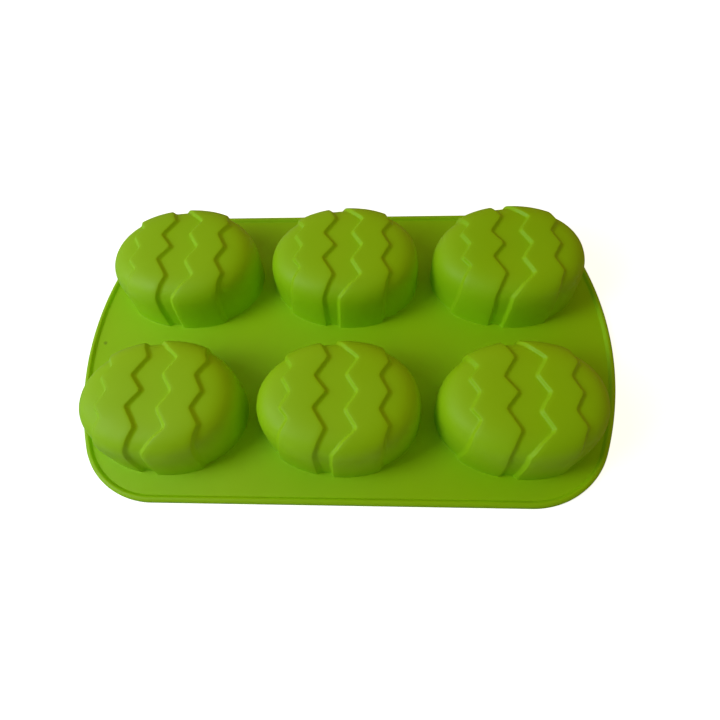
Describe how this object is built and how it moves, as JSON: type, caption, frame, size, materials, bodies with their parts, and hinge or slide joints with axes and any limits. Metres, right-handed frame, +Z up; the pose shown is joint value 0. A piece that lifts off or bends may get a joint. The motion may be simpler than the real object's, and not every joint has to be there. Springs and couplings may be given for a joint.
{
  "type": "silicone soap mould",
  "caption": "Flexible silicone mould with rows of egg-shaped cups banded with raised zigzags, for casting soap, wax or resin.",
  "frame": {"origin": "centre of the bounding box's bottom face, which is the open pour face that the mould lies on", "axes": "+X along the mould's length towards the blunt ends of the eggs, +Z up out of the crowns, the front row is at -Y"},
  "size_m": [0.27, 0.166, 0.0336],
  "materials": {
    "silicone": "satin lime-green silicone"
  },
  "bodies": {
    "root": {"deck": "silicone", "rim": "silicone", "egg_cup_back_left": "silicone", "egg_cup_back_middle": "silicone", "egg_cup_back_right": "silicone", "egg_cup_front_left": "silicone", "egg_cup_front_middle": "silicone", "egg_cup_front_right": "silicone"}
  },
  "joints": []
}
